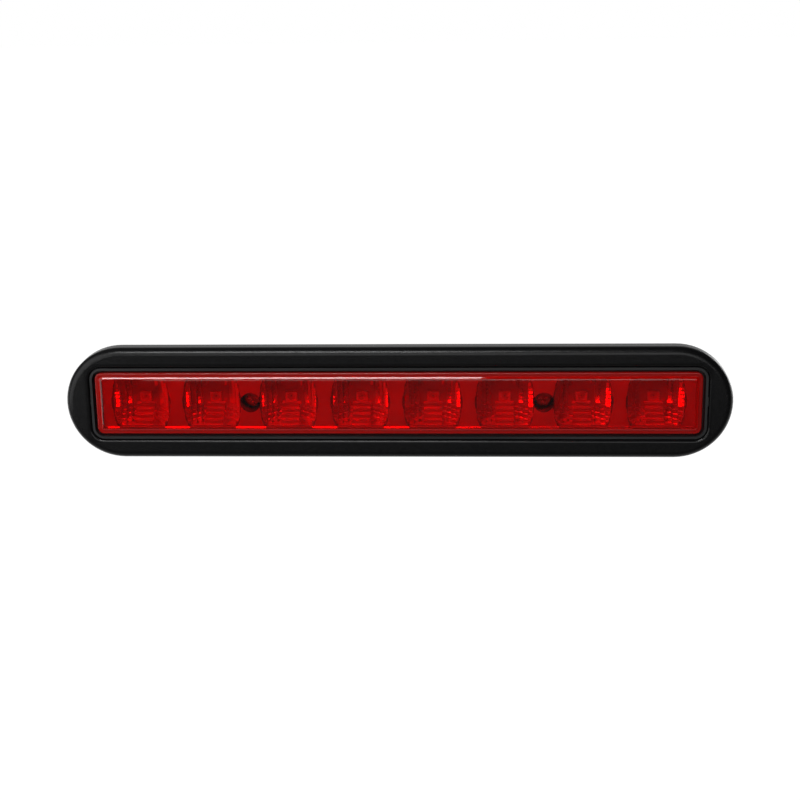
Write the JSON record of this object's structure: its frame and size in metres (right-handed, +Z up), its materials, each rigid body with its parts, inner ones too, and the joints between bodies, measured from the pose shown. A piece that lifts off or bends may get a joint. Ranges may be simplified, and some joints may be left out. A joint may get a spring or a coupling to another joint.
{
  "type": "third brake light",
  "caption": "Long oval recess-mounted stop lamp: black trim ring, rectangular red lens over a row of LED reflector bowls, rear housing with studs and plug socket.",
  "frame": {"origin": "midway between the two mounting studs, on the plane where the foam gasket meets the vehicle's panel", "axes": "+X along the lamp's length, +Z up, +Y back into the vehicle along the studs; the lens faces -Y"},
  "size_m": [0.1986, 0.0331, 0.034],
  "materials": {
    "bezel_plastic": "black moulded plastic with a fine spark-eroded grain",
    "housing_plastic": "smooth satin black moulded plastic",
    "red_lens": "clear red acrylic, polished",
    "sealant": "black elastic sealant",
    "bright_reflector": "vacuum-metallised plastic, mirror bright",
    "plated_steel": "bright zinc plate",
    "board_laminate": "glass-epoxy laminate with white solder resist",
    "led_package": "white moulded LED package with a clear resin window",
    "resistor_ceramic": "black glazed thick-film resistor with tinned ends",
    "component_epoxy": "black moulded epoxy",
    "capacitor_ceramic": "tan ceramic with tinned ends",
    "tinned_brass": "tin-plated brass blade",
    "foam": "closed-cell black foam rubber",
    "membrane": "white porous membrane disc"
  },
  "bodies": {
    "root": {"bezel": "bezel_plastic", "housing": "housing_plastic", "lens": "red_lens", "lens_seal": "sealant", "reflector": "bright_reflector", "reflector_screws": "plated_steel", "circuit_board": "board_laminate", "led_1": "led_package", "led_2": "led_package", "led_3": "led_package", "led_4": "led_package", "led_5": "led_package", "led_6": "led_package", "led_7": "led_package", "led_8": "led_package", "ballast_resistors": "resistor_ceramic", "protection_diode": "component_epoxy", "surge_suppressor": "component_epoxy", "current_regulator": "component_epoxy", "input_capacitor": "capacitor_ceramic", "terminal_pins": "tinned_brass", "mount_studs": "plated_steel", "mounting_gasket": "foam", "breather_vent": "membrane"}
  },
  "joints": []
}
